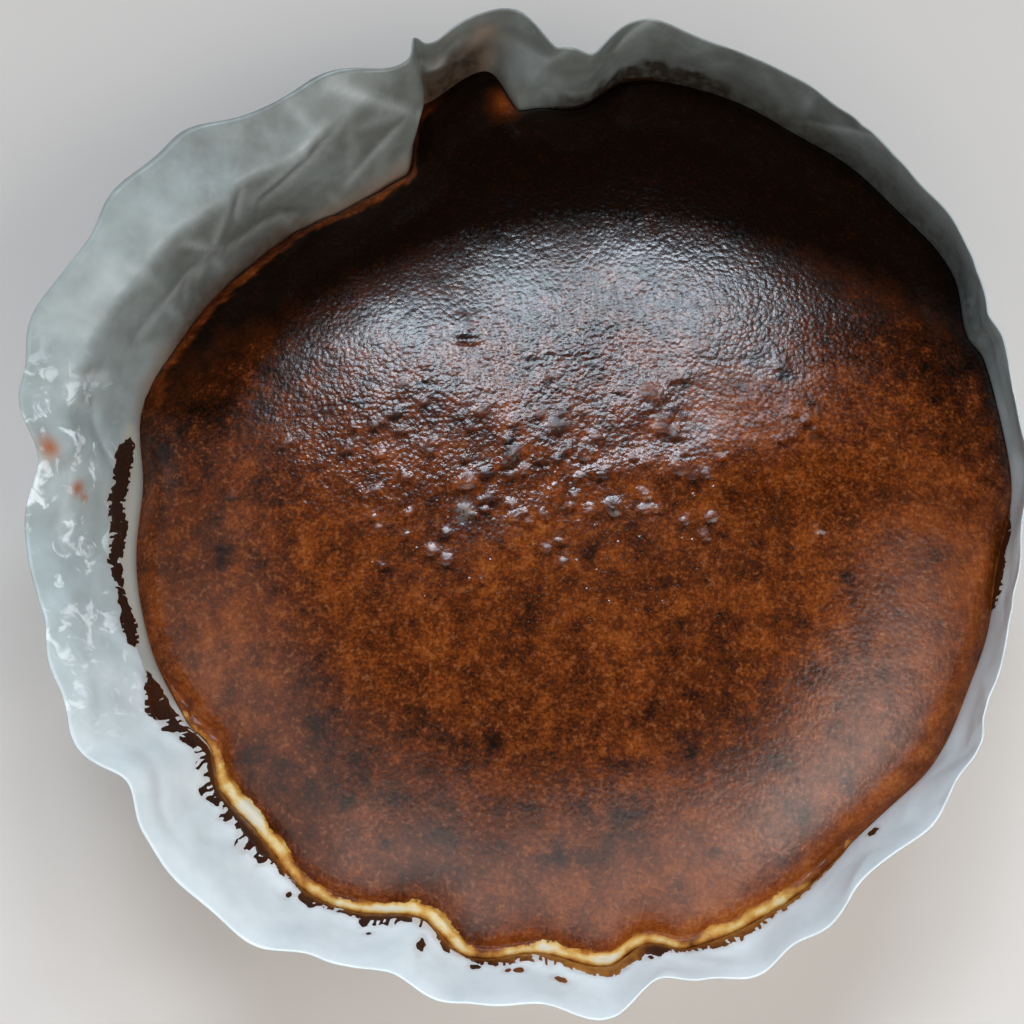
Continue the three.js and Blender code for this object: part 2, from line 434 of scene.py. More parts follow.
def crust_material(name, specular):
    m = Nodes(name)
    fine = m.noise(0.8, detail=2)
    middle = m.noise(3.6)
    edge = m.noise(1.3)
    grain = m.plus(m.swing(fine, 0.95), m.swing(edge, 0.50))
    grain = m.plus(grain, m.swing(middle, 0.70))
    grain = m.math("SUBTRACT", grain, m.times(m.fit(fine, 0.60, 0.75), 0.12))
    burn_and_shade = m.plus(m.mask("burn_and_shade"), m.times(grain, m.mask("grain")), clamp=True)
    skin = m.ramp(burn_and_shade, CRUST_COLOURS)
    # Painted glints where the pimples are
    painted_glints = m.times(m.fit(fine, 0.64, 0.73), m.mask("pimples"))
    skin = m.mix(m.times(painted_glints, 0.5), skin, GLINT_COLOUR)
    freckles = m.times(m.fit(edge, 0.46, 0.32), m.fit(burn_and_shade, 0.70, 0.45))
    skin = m.mix(m.times(freckles, 0.35), skin, FRECKLE_COLOUR)
    scar = m.times(m.mask("scar"), m.fit(edge, 0.44, 0.52))
    skin = m.mix(scar, skin, SCAR_COLOUR)
    pale = m.ramp(m.plus(m.mask("lip_tone"), m.swing(edge, 0.55)), LIP_COLOURS)
    ragged = m.plus(m.mask("lip"), m.swing(edge, 0.9))
    m.give("Base Color", m.mix(m.fit(ragged, 0.40, 0.60), skin, pale))
    rough = m.plus(m.mask("dull"), m.swing(middle, 0.08))
    m.give("Roughness", m.plus(rough, m.swing(edge, 0.10)))
    cells = m.texture("TexVoronoi", 1.25).outputs["Distance"]
    crinkle = m.plus(m.times(cells, -0.65), m.noise(1.6, detail=2))
    crinkle = m.times(crinkle, m.mask("crinkle"))
    pimples = m.times(m.dots(2.6, 0.24, 0.22), m.mask("pimples"))
    m.give("Normal", m.bump(m.plus(crinkle, pimples), 0.135))
    m.give("Specular IOR Level", specular)
    return m.material


def paper_material():
    m = Nodes("baking_paper")
    cloudy = m.noise(12.0)
    ragged = m.noise(2.4)
    # Grease and painted shade darken the paper
    paper = m.ramp(m.plus(m.mask("grease_and_shade"), m.swing(cloudy, 0.5), clamp=True), PAPER_COLOURS)
    # Painted sheen on the paper at the left
    marks = m.times(m.fit(m.noise(5.5, distortion=0.8), 0.53, 0.66), m.mask("painted_sheen"))
    paper = m.mix(m.times(marks, 0.85), paper, SHEEN_COLOUR)
    # Painted highlight along creases
    paper = m.mix(m.times(m.mask("crease_sheen"), 0.5), paper, CREASE_SHEEN_COLOUR)
    beige = m.fit(m.plus(m.mask("beige"), m.swing(ragged, 0.7)), 0.35, 0.65)
    paper = m.mix(m.times(beige, 0.85), paper, BEIGE_COLOUR)
    stain = m.times(m.mask("tan"), m.fit(ragged, 0.25, 0.75, 0.55, 1.2), clamp=True)
    paper = m.mix(stain, paper, TAN_COLOUR)
    # Painted shade with some soot
    shade_and_soot = m.times(m.mask("shade_and_soot"), m.fit(ragged, 0.2, 0.8, 0.8, 1.1))
    paper = m.mix(shade_and_soot, paper, SHADE_AND_SOOT_COLOUR)
    burnt = m.fit(m.plus(m.mask("char"), m.swing(ragged, 0.7)), 0.3, 0.7)
    paper = m.mix(burnt, paper, CHAR_COLOUR)
    m.give("Base Color", m.mix(m.mask("spot"), paper, SPOT_COLOUR))
    m.give("Roughness", m.fit(cloudy, 0.3, 0.7, 0.30, 0.48))
    m.give("Normal", m.bump(ragged, 0.08, 0.5))
    return m.material


def film_material():
    m = Nodes("burnt_film")
    ragged = m.noise(1.5, roughness=0.5)
    m.give("Base Color", m.ramp(m.plus(m.mask("thick"), m.swing(ragged, 0.4)), FILM_COLOURS))
    m.give("Roughness", m.fit(ragged, 0.3, 0.7, 0.35, 0.60))
    m.give("Normal", m.bump(m.noise(0.9, detail=2, roughness=0.5), 0.15, 0.6))
    m.give("Specular IOR Level", FILM_SPECULAR)
    return m.material


# Cake
CAKE_SEED = 5
GRID = 300  # squares along each side of the top's grid
LIP_START = 0.955  # share of the grid's rings that the dome takes
CENTRE_PACKING = 0.8  # spacing of the rings in the middle, as a share of an even spacing
PACKING_POWER = 4
RIM_POWER = 6  # keeps the rim's own form to the outermost dome
LEAST_LIP = 0.5
LIP_RISE = 0.35
LIP_DROP = 0.2  # how far the ledge falls where the lip doesn't show

# Rows down the side: share of its height, angle round the bottom edge
SIDE_ROWS = ((0.93, 0), (0.75, 0), (0.5, 0), (0.2, 0), (0, 0), (0, 45), (0, 90))


def disc_grid(count):
    """Angle and radius, 0 to 1, of a square grid laid over a disc, its quads and the loop round it."""
    steps = np.linspace(-1, 1, count + 1)
    a, b = np.meshgrid(steps, steps, indexing="ij")
    wide = np.abs(a) > np.abs(b)
    safe_a = np.where(a == 0, 1, a)
    safe_b = np.where(b == 0, 1, b)
    radius = np.where(wide, a, b)
    angle = np.where(wide, 45 * b / safe_a, 90 - 45 * a / safe_b)
    angle = np.where(radius < 0, angle + 180, angle)
    index = np.arange((count + 1) ** 2).reshape(count + 1, count + 1)
    quads = np.stack([index[:-1, :-1], index[1:, :-1], index[1:, 1:], index[:-1, 1:]], -1).reshape(-1, 4)
    loop = np.concatenate([index[:-1, 0], index[-1, :-1], index[:0:-1, -1], index[0, :0:-1]])
    return np.mod(angle, 360).ravel(), np.abs(radius).ravel(), quads, loop


# Larger blisters that stand out: x, y, size
BLISTERS = (
    (19, 19.4, 2.6), (21.8, 10.7, 1.9), (-4.1, 12, 1.7), (-23.1, 14.9, 1.6),
    (-8.3, 14.6, 1.6), (52.5, 28.1, 2.2), (2.7, 3.7, 1.2), (9.2, -9.8, 1.3),
    (17.5, -6.2, 1.5), (3.8, -10.5, 1.2), (-26.7, -3.2, 1.7), (-21.8, -0.8, 1.3),
    (-35.4, 5.2, 1.3), (6.9, -0.9, 1.2), (26, 0, 1.5), (27, -12.7, 1.2),
    (31.8, -16.4, 1.3), (-56, 6, 1.3), (-48.8, -4.7, 1.2), (-7.2, -11.5, 1.1),
    (-6.7, -19.8, 1.1), (-26.5, 38.6, 2.6), (25, 24, 1.6), (12.5, 21, 1.5),
)

# Small blisters round them: number, middle, scatter, sizes
SMALL_BLISTERS = (110, (-4, 4), (34, 15), (0.8, 1.35))

# Form of a blister, in shares of its size
NEAR_HEIGHT = 0.31  # of those towards the front
FAR_HEIGHT = 0.068
BLISTER_WIDTH = 1.25
BLISTER_BACK = 1.55
BLISTER_FRONT = 0.55
# Length of the painted shadow in front of a blister
BLISTER_SHADOW_LENGTH = 0.7

# Hollows below a burst blister and in the scar: x, y, half sizes, depth
PITS = ((-26.5, 34.6, 3.4, 0.9, 0.35), (-27.0, -9.6, 2.8, 3.4, 0.12))

# Scar where the skin has come off: x, y, half sizes
SCAR = (-27.0, -9.6, 2.6, 3.2)

# Broad swellings: x, y, half sizes, height
SWELLINGS = ((19, 16, 7, 7, 0.35), (-50, 17, 10, 7, 0.30))

# Where the top is lumpiest: x, y, half sizes
LUMPY = (-2, 15, 60, 24)

# Wide dark spots near the front: x, y, half sizes
WIDE_SPOTS = (
    (-31, -87.5, 7, 2.8), (2, -93, 9.5, 2.2), (10.3, -83, 5, 3.8), (-52, -70, 3.6, 2.6),
    (-78.5, -69, 3, 2.4), (-41, -79, 6, 2.4), (48, -70, 5, 2.4), (-12, -81, 6, 2.0),
)
WIDE_DARKNESS = 0.20

# Small dark spots: number, sizes, corners of their area, darkness
SMALL_SPOTS = (280, (1.1, 2.5), ((-95, -95), (95, 50)), (0.05, 0.20))

# Steps of burning from the front to the back, partly painted shadow of the standing paper at the back: where
# each starts and ends, change
BURN_AND_SHADE_STEPS = ((2, 26, 0.05), (30, 60, 0.26), (58, 80, 0.28))
PLAIN_BURN = 0.49
SIDE_BEND = 0.0022  # how lines of equal burning bend forwards at the sides
LEFT_BEND = 0.15  # and more at the left

# Paler patch at the back of the rim: x, y, half sizes
EMBER = (-17, 106.5, 5, 6)
EMBER_BURN = 0.26

# Crusts from glossy to charred: name, specular level
CRUSTS = (("burnt_crust", 0.5), ("dull_crust", 0.25), ("charred_crust", 0.07))
PLAIN_DULL = 0.17
SPECKLE = 0.4  # how far chance moves a face from one crust to the next

# Broad lighter and darker areas of the crust: x, y, half sizes, change
TONES = (
    (24, -100, 24, 11, -0.17), (54, -60, 20, 14, 0.10), (90, -42, 12, 22, -0.02), (82, 20, 18, 18, 0.05),
    (-92, 0, 16, 18, 0.03), (6, -90, 20, 8, 0.05), (-85, -52, 14, 14, -0.10), (28, -12, 42, 34, -0.03),
    (-5, -40, 16, 10, 0.04), (-85, 38, 12, 12, -0.02), (-90, -32, 18, 16, -0.07), (-55, -22, 14, 12, -0.10),
    (66, 4, 12, 14, -0.06), (46, 16, 14, 11, -0.14), (-68, 46, 14, 12, 0.06),
)

# Pale lip: angle, width inside the rim, below zero where there is none, tone from golden brown to white
LIP = np.array((
    (208.5, -2, 0.2), (211, 1.4, 0.25), (215.5, 1.1, 0.35), (218, 2.7, 0.45),
    (220, 3.6, 0.75), (226, 4.2, 0.9), (228, 3.3, 1.1), (231, 3.6, 0.65),
    (236.5, 3.3, 0.35), (240, 2.8, 1), (248.5, 3.4, 1.1), (251, 2.8, 0.65),
    (253.5, 4.4, 0.6), (256, 3.4, 0.75), (258.5, 3, 0.35), (260.5, 2.5, 0.3),
    (262, 2.1, 1), (266, 2.5, 1.1), (269, 3, 0.7), (272, 3.7, 0.95),
    (276, 3.4, 0.95), (278.5, 2.3, 0.4), (281, 2.3, 0.75), (288, 2.8, 0.5),
    (296, 3.2, 0.65), (299.5, 1.6, 0.4), (301.5, -1, 0.3), (305, -1, 0.3),
    (306.5, 1.8, 0.75), (308.5, -2, 0.4),
))


def blisters(points, rng):
    """Height of blisters with a steep front, and the painted shadow in front of each."""
    ragged = noise(points, 1.9, 41)
    height = np.zeros(len(points))
    blister_shadow = np.zeros(len(points))
    count, middle, scatter, sizes = SMALL_BLISTERS
    small = [(*rng.normal(middle, scatter), rng.uniform(*sizes)) for _ in range(count)]
    for x, y, size in (*BLISTERS, *small):
        tall = size * rng.uniform(0.85, 1.15) * lerp(NEAR_HEIGHT, FAR_HEIGHT, float(between(y, -5, 32)))
        lean = rng.uniform(-0.5, 0.5)
        across = (points[:, 0] - x + lean * (points[:, 1] - y)) / (BLISTER_WIDTH * size)
        along = (points[:, 1] - y) / size
        # Painted shadow in front of the blister
        blister_shadow = np.maximum(blister_shadow, np.exp(-(across**2) - ((along + 1.0) / BLISTER_SHADOW_LENGTH) ** 2))
        along = np.where(along > 0, along / BLISTER_BACK, along / BLISTER_FRONT)
        height += tall * np.exp(-1.1 * (across**2 + along**2)) * (1 + 0.35 * ragged)
    return height, blister_shadow


def soft_spots(points, rng):
    """Dark spots of the crust: wide soft ones near the front, and small ones all over."""
    wobble = 1 + 0.5 * noise(points, 3.0, 43)
    count, sizes, corners, darkness = SMALL_SPOTS
    small = []
    for _ in range(count):
        size = rng.uniform(*sizes)
        small.append((*rng.uniform(*corners), size, size * rng.uniform(0.8, 1.2)))
    spots = [(*at, WIDE_DARKNESS) for at in WIDE_SPOTS]
    spots += [(*at, rng.uniform(*darkness)) for at in small]
    total = np.zeros(len(points))
    for *at, dark in spots:
        total += dark * np.exp(-((squared_away(points, *at) / wobble**2) ** 1.1))
    return total


def lip_share(theta):
    """How much of the lip's raised form shows at each angle."""
    return between(theta, 203, 214) * between(theta, 314, 297)


def top_form(theta, ring):
    """Points of the top without relief, and the shares of the way to the lip and across it."""
    lip_here = lip_share(theta)
    even = np.minimum(ring / LIP_START, 1)
    share = CENTRE_PACKING * even + (1 - CENTRE_PACKING) * even**PACKING_POWER
    outward = np.clip((ring - LIP_START) / (1 - LIP_START), 0, 1)
    plain = top_radius(theta, share)
    spread = (LIP_WIDTH - LEAST_LIP) * (1 - lip_here)
    radius = plain + spread * share**RIM_POWER + (LIP_WIDTH - spread) * outward
    lip_height = lerp(-LIP_DROP * outward, LIP_RISE * np.sin(math.pi * outward), lip_here)
    form = np.clip(lerp(calm_share(theta, plain), share, share**RIM_POWER), 0, 1)
    height = np.where(ring > LIP_START, rim_height(theta) + lip_height, top_height(theta, form))
    return place(theta, radius, height), share, outward


def skin_relief(theta, top, share, outward, raised):
    """Height of lumps, swellings, blisters and pits, the torn edge at the back and the ragged lip."""
    calm = between(share, 1.0, 0.9)
    lumpy = hump(top, *LUMPY)
    warped = top + 1.2 * np.column_stack([noise(top, 5, 60 + axis) for axis in range(3)])
    relief = 0.10 * clouds(top, 26, 2, seed=1)
    relief += lerp(0.02, 0.08, lumpy) * clouds(top * (0.8, 1.15, 1), 9, 2, seed=4)
    relief += lerp(0.012, 0.05, lumpy) * noise(warped * (0.8, 1.1, 1), 4.2, 8)
    relief += lerp(0.008, 0.022, lumpy) * noise(warped, 2.2, 9)
    relief *= lerp(0.25, 1.0, calm)
    for *at, tall in SWELLINGS:
        relief += tall * hump(top, *at)
    for *at, deep in PITS:
        raised = raised - deep * np.exp(-(squared_away(top, *at) ** 2))
    relief += raised * calm
    torn = between(share, 0.95, 1.0) * sector(theta, 145, 35, 30)
    relief += torn * (0.5 + 0.5 * noise(top, 5, 18) + 0.3 * noise(top, 2, 19))
    pucker = between(share, 0.9, 0.98) * (1 - outward)
    relief += pucker * 0.12 * noise(top * (1, 1, 0.35), 5, 14)
    ragged = 0.25 * noise(top, 4.5, 16) + 0.25 * noise(top, 2.0, 17)
    return relief + between(outward, 0, 0.4) * lip_share(theta) * ragged


def cake_side(theta):
    """Rows of points down the side and round the bottom edge."""
    centre = PAPER_THICKNESS + PAPER_GAP + BASE_FILLET
    rows = []
    for up, angle in SIDE_ROWS:
        a = math.radians(angle)
        radius = side_radius(theta, up) - BASE_FILLET * (1 - math.cos(a))
        rows.append(place(theta, radius, lerp(centre, rim_height(theta), up) - BASE_FILLET * math.sin(a)))
    return rows


class Skin:
    """Where each point of the cake lies, and the blisters there."""

    def __init__(self, points, angles, away, raised, blister_shadow):
        self.points = points
        self.angles = angles
        self.away = away  # distance inside the rim
        self.raised = raised
        # Painted shadow in front of the blisters
        self.blister_shadow = blister_shadow
        self.x = points[:, 0]
        self.y = points[:, 1]
        self.reach = np.hypot(self.x, self.y) / CAKE_RADIUS
        self.backward = self.y + SIDE_BEND * self.x**2 + LEFT_BEND * np.maximum(-self.x, 0)


def burn_and_shade_mask(skin, rng):
    """How burnt the crust is, with painted shade at the back and in front of blisters, from 0 to 1."""
    points, angles, away, x, y = skin.points, skin.angles, skin.away, skin.x, skin.y
    burn_and_shade = np.full(len(points), PLAIN_BURN)
    # Darker towards the back, by burning and by painted shadow of the standing paper
    for start, end, change in BURN_AND_SHADE_STEPS:
        burn_and_shade += change * between(skin.backward, start, end)
    front_right = between(skin.reach, 0.55, 0.8) * between(y, 30, -10) * between(x, -10, 65)
    front_left = between(skin.reach, 0.6, 0.85) * between(x, 10, -50) * between(y, 20, -30)
    far_right = between(x, 84, 104)
    burn_and_shade += 0.10 * far_right + 0.07 * front_left - 0.10 * front_right
    for *at, change in TONES:
        burn_and_shade += change * hump(points, *at)
    mottled = 0.12 * clouds(points, 18, 3, 0.6, seed=20) + 0.13 * clouds(points, 6, 2, 0.6, seed=24)
    burn_and_shade += mottled * lerp(1.0, 0.35, between(skin.backward, 48, 74))
    burn_and_shade += soft_spots(points, rng) * between(y, 60, 25)
    front_rim = between(away, 8, 4) * between(y, 20, -30)
    back_rim = between(away, 22, 6) * sector(angles, 145, 45, 40)
    burn_and_shade -= 0.15 * front_rim + 0.05 * back_rim
    ragged = 1.9 * noise(points, 7, 28) + 1.2 * noise(points, 2.5, 27)
    bare_width = 3.8 + 2.4 * fade(angles, 122, 9, 6) + ragged
    bare = between(away - bare_width, 0.8, -0.6) * sector(angles, 137, 40, 38)
    burn_and_shade = lerp(burn_and_shade, 0.48 + 0.16 * noise(points, 6, 29) + 0.16 * noise(points, 2, 30), bare)
    # Painted shadow in front of each blister, darkening the crust
    burn_and_shade += 0.26 * skin.blister_shadow
    return np.clip(lerp(burn_and_shade, EMBER_BURN, 0.8 * hump(points, *EMBER)), 0, 1)


def lip_masks(skin):
    """Where the pale lip shows, and its tone."""
    width = np.interp(skin.angles, LIP[:, 0], LIP[:, 1])
    inside = width + noise(skin.points, 7, 35) + 0.7 * noise(skin.points, 3, 36) - skin.away
    core = between(inside, 0.0, 1.7) * between(skin.away, 0.0, 1.5)
    tone = np.interp(skin.angles, LIP[:, 0], LIP[:, 2]) * lerp(0.35, 1.0, core)
    blotches = 0.30 * noise(skin.points, 9, 33) + 0.30 * noise(skin.points, 3, 34)
    return np.clip(0.5 + inside / 2.0, 0, 1), tone + blotches


def surface_masks(skin, lip):
    """The scar, roughness, depth of fine crinkles, pimples and strength of the colour's grain."""
    x, y, reach, backward, raised = skin.x, skin.y, skin.reach, skin.backward, skin.raised
    wobble = 1 + 0.6 * noise(skin.points, 2.6, 44)
    scar = np.exp(-((squared_away(skin.points, *SCAR) / wobble) ** 2))
    front = between(reach, 0.55, 0.8) * between(y, 40, -10)
    middle = between(y, -5, 15) * between(backward, 64, 52)
    dull = PLAIN_DULL + 0.12 * front + 0.05 * middle - 0.03 * between(backward, 62, 74)
    dull += 0.25 * np.clip(2 * lip - 0.6, 0, 1) + 0.08 * scar + 0.12 * between(raised, 0.06, 0.30)
    left = between(y, -28, 8) * between(x, 50, 8) * between(x, -98, -60) * between(backward, 66, 26)
    right = 0.4 * between(x, 4, 30) * between(y, 16, 32) * between(backward, 66, 52)
    crinkle = lerp(0.36, 1.1, np.maximum(left, right)) * (1 - 0.6 * between(raised, 0.08, 0.35))
    # Where the pimples are, which also places the painted glints
    pimples = 0.85 * between(np.hypot((x + 2) / 74, (y + 12) / 48), 1.0, 0.45)
    grain = lerp(1.0, 0.25, between(backward, 45, 74))
    grain *= lerp(1.0, 0.62, between(reach, 0.58, 0.82) * between(y, 20, -20))
    return {"scar": scar, "dull": dull, "crinkle": crinkle, "pimples": pimples, "grain": grain}


def charred_mask(skin):
    """How charred the crust is, and so how little it shines."""
    x, y, away = skin.x, skin.y, skin.away
    back = between(skin.backward, 57, 79)
    back_left = between(away, 34, 18) * sector(skin.angles, 130, 55, 60)
    left = 0.6 * between(away, 52, 28) * between(x, -34, -58) * between(y, 24, 42)
    near_lip = 0.5 * between(away, 7.5, 4.5) * between(y, 10, -25)
    right = np.maximum(between(x, 26, 42) * between(y, 29, 22), between(x, 50, 62) * between(y, 48, 36))
    right *= 0.62 * between(y, -28, 0)
    return np.max([back, back_left, left, near_lip, right], axis=0)


def make_cake():
    rng = np.random.default_rng(CAKE_SEED)
    theta, ring, quads, loop = disc_grid(GRID)
    top, share, outward = top_form(theta, ring)
    raised, blister_shadow = blisters(top, rng)
    relief = skin_relief(theta, top, share, outward, raised)
    top = top + normals_of(top, quads) * relief[:, None]

    side = cake_side(theta[loop])
    count = len(loop)
    points = np.concatenate([top, *side])
    rows = [loop] + [len(top) + k * count + np.arange(count) for k in range(len(side))]
    faces = [quads]
    for upper, lower in zip(rows, rows[1:]):
        faces.append(np.stack([upper, lower, np.roll(lower, -1), np.roll(upper, -1)], -1))
    faces = [*np.concatenate(faces), rows[-1][::-1]]

    angles = np.concatenate([theta] + [theta[loop]] * len(side))
    plain = np.zeros(count * len(side))
    away = np.append(side_radius(theta, 1) - np.hypot(top[:, 0], top[:, 1]), plain)
    skin = Skin(points, angles, away, np.append(raised, plain), np.append(blister_shadow, plain))
    burn_and_shade = burn_and_shade_mask(skin, rng)
    lip, lip_tone = lip_masks(skin)
    masks = {"burn_and_shade": burn_and_shade, "lip": lip, "lip_tone": lip_tone, **surface_masks(skin, lip)}
    materials = [crust_material(*crust) for crust in CRUSTS]
    cake = make_piece("cake_skin", points, faces, materials, masks)
    charred = charred_mask(skin)
    level = np.array([np.mean(charred[face]) for face in faces]) * len(CRUSTS)
    level += rng.uniform(-SPECKLE, SPECKLE, len(faces))
    cake.data.polygons.foreach_set("material_index", np.clip(level, 0, len(CRUSTS) - 1).astype(np.int32))
    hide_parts("cake")


# Paper
PAPER_SEED = 21
AROUND = 900  # columns of points round the sheet
BASE_SHARES = (0.4, 0.8)
FILLET_ANGLES = (0.0, 30.0, 60.0, 90.0)
WALL_SHARES = np.linspace(0, 1, 15)[1:]
FREE_STEPS = 30
WALK_STEPS = 60  # steps in which the bent paper's length is walked
SHEET_THICKNESS = 0.35
FLOOR_GAP = 0.02
ON_BASE = -99.0  # as a length above the rim
ON_FILLET = -50.0
SHOWS_THROUGH = 0.3  # how much of the marks inside shows on the outside

# How greasy the paper is, with painted shade darkening it at the back: angle, share
GREASE_AND_SHADE = np.array((
    (0, 0.30), (30, 0.70), (55, 0.95), (90, 0.95), (115, 1.0), (150, 0.95), (172, 0.75), (190, 0.62),
    (204, 0.35), (215, 0.20), (240, 0.06), (270, 0.03), (300, 0.03), (330, 0.12), (360, 0.30),
))

# Long creases in the free paper: angle and length above the rim at each end, height
CREASES = (
    (124, 30, 139, 16, 0.5), (126, 33, 140, 19, -0.4), (163, 14, 146, 13, 0.5),
    (146, 13, 134, 6, 0.5), (146, 13, 150, 26, -0.4), (118, 18, 127, 9, 0.4),
)

# Creases that fall by chance: number, starts above the rim, lengths, heights
FREE_CREASES = (110, (2, 30), (8, 30), (0.15, 0.45))
WALL_CREASES = (100, (-46, -16), (12, 36), (0.3, 0.7))
WALL_SWAY = 0.4  # radians off the upright

# Form of a crease
CREASE_WIDTH = 5.0  # to each side
CREASE_ROUNDING = 0.8
CREASE_GAIN = 1.7
# Painted highlight along the sharpest creases: width to each side, and strength
CREASE_SHEEN_WIDTH = 2.6  # of the pale line, to each side
CREASE_SHEEN_STRENGTH = 0.8

# Stains and painted shade: strength, lengths above the rim where they end and are full, angle, reach each
# way, softness
TAN_BANDS = ((0.55, 8, 0, 135, 50, 45, 0.4), (0.30, 1.4, 0.2, 190, 40, 30, 0.4))
# Painted shade with some soot low on the wall, and a frayed band of it at the back
SHADE_AND_SOOT_BANDS = ((0.8, 15, 2, 52, 45, 50, 0.4), (0.34, 26, 5, 142, 26, 16, 0.5), (0.42, 10, 1, 145, 26, 16, 0.5))
FRAYED_SHADE_BANDS = ((0.75, 7.5, 2.5, 78, 24, 12, 0.5),)
BETWEEN_FOLDS = (105, 9, 7)  # angle, reach each way

# Brown spots: angle, length above the rim, size
BROWN_SPOTS = ((178.8, 33.5, 2.6), (182.5, 23, 1.7), (183.3, 20, 1.0))


def crease_line(at, start, way, length, tall):
    """Ends of a crease that runs some way from its start, and its height."""
    return at, start, at + length * math.cos(way) / MM_PER_DEGREE, start + length * math.sin(way), tall


def chance_creases(rng):
    """Short creases of the free paper, and creases up and down the wall: ends and height."""
    lines = []
    count, starts, lengths, heights = FREE_CREASES
    for _ in range(count):
        at, start = rng.uniform(0, 360), rng.uniform(*starts)
        way, length = rng.uniform(0, math.pi), rng.uniform(*lengths)
        lines.append(crease_line(at, start, way, length, rng.choice((-1, 1)) * rng.uniform(*heights)))
    count, starts, lengths, heights = WALL_CREASES
    for _ in range(count):
        at, start = rng.uniform(0, 360), rng.uniform(*starts)
        way, length = rng.normal(math.pi / 2, WALL_SWAY), rng.uniform(*lengths)
        lines.append(crease_line(at, start, way, length, rng.uniform(*heights)))
    return lines


def crease_heights(theta, above, lines):
    """Height of sharp straight creases across the sheet, and the painted highlight along the sharpest."""
    total = np.zeros(theta.shape)
    crease_sheen = np.zeros(theta.shape)
    for start_angle, start, end_angle, end, tall in lines:
        along, rise = (end_angle - start_angle) * MM_PER_DEGREE, end - start
        x, y = turn(start_angle, theta) * MM_PER_DEGREE, above - start
        share = np.clip((x * along + y * rise) / (along**2 + rise**2), 0, 1)
        away = np.hypot(x - share * along, y - share * rise)
        ends = (4 * share * (1 - share)) ** 0.5
        ridge = np.maximum(1 - np.hypot(away, CREASE_ROUNDING) / CREASE_WIDTH, 0) ** 2
        total += CREASE_GAIN * tall * ridge * ends
        pale = CREASE_SHEEN_STRENGTH * np.maximum(1 - away / CREASE_SHEEN_WIDTH, 0) ** 1.5 * ends
        crease_sheen = np.maximum(crease_sheen, pale * between(abs(tall), 0.25, 0.45))
    return total, crease_sheen


def free_paper(theta, length):
    """Points of the paper's inner face above the rim, at a length along it."""
    rise, lean, fold, fold_lean = brim_at(theta)
    start_lean = math.degrees(math.atan2((1 - BASE_TAPER) * CAKE_RADIUS, RIM_HEIGHT))
    radius = side_radius(theta, 1) + lerp(RIM_GAP, stand_off(theta), smooth(length / RIM_OPENING))
    height = rim_height(theta)
    bend = bend_length(theta)
    for k in range(WALK_STEPS):
        walked = length * (k + 0.5) / WALK_STEPS
        slope = lerp(start_lean, lean, smooth(walked / bend))
        slope = lerp(slope, fold_lean, smooth((walked - rise) / CREASE_LENGTH + 0.5))
        radius = radius + length / WALK_STEPS * np.sin(np.radians(slope))
        height = height + length / WALK_STEPS * np.cos(np.radians(slope))
    grown = (length / (rise + fold)) ** RUFFLE_POWER
    loose = np.clip(lean / RUFFLE_LEAN, LEAST_RUFFLE, 1)
    radius = radius + RUFFLE * loose * grown * ripple(theta, RUFFLE_WAVES)
    sideways = 0.0
    for at, far, over, ccw, cw in PLEATS:
        sideways = sideways - far * fade(theta, at, ccw, cw) * smooth(length / over)
    return place(theta, radius, height, sideways)


def paper_grid(theta):
    """Rows of points of the paper's inner face from the base to the free edge, and lengths above the rim."""
    base = side_radius(theta, 0) + stand_off(theta)
    centre = PAPER_THICKNESS + BASE_FILLET
    rows = [place(theta, (base - BASE_FILLET) * share, PAPER_THICKNESS) for share in BASE_SHARES]
    above = [np.full(len(theta), ON_BASE)] * len(BASE_SHARES)
    for angle in FILLET_ANGLES:
        a = math.radians(angle)
        rows.append(place(theta, base - BASE_FILLET * (1 - math.sin(a)), centre - BASE_FILLET * math.cos(a)))
        above.append(np.full(len(theta), ON_FILLET))
    for share in WALL_SHARES:
        height = lerp(centre, rim_height(theta), share)
        rows.append(place(theta, side_radius(theta, share) + stand_off(theta, share), height))
        above.append((share - 1) * (rim_height(theta) - centre))
    rise, _, fold, _ = brim_at(theta)
    for k in range(1, FREE_STEPS + 1):
        length = (rise + fold) * k / FREE_STEPS
        rows.append(free_paper(theta, length))
        above.append(length)
    return np.array(rows), np.array(above)


def paper_relief(points, above, theta):
    """How far creases and soft bulges push the sheet out, and the painted highlight along creases."""
    rng = np.random.default_rng(PAPER_SEED)
    free = between(above, 0.5, 9.0)
    wall = between(above, -46, -34) * between(above, -1, -9)
    bulge = 0.5 * clouds(points * (1, 1, 0.6), 34, 2, seed=80)
    round_rim = np.stack([np.radians(theta) * CAKE_RADIUS, 0 * theta, 0 * theta], -1)
    pleat = 1.3 * (0.6 - np.abs(noise(round_rim, 9, 85))).clip(0)
    crease, crease_sheen = crease_heights(theta, above, (*CREASES, *chance_creases(rng)))
    push = free * (crease + bulge) + wall * (pleat + crease.clip(0) + bulge.clip(0))
    return push, np.maximum(free, 0.7 * wall) * crease_sheen


def stains(bands, angles, above):
    total = np.zeros(len(angles))
    for strength, clear, full, *where in bands:
        total += strength * between(above, clear, full) * sector(angles, *where)
    return total


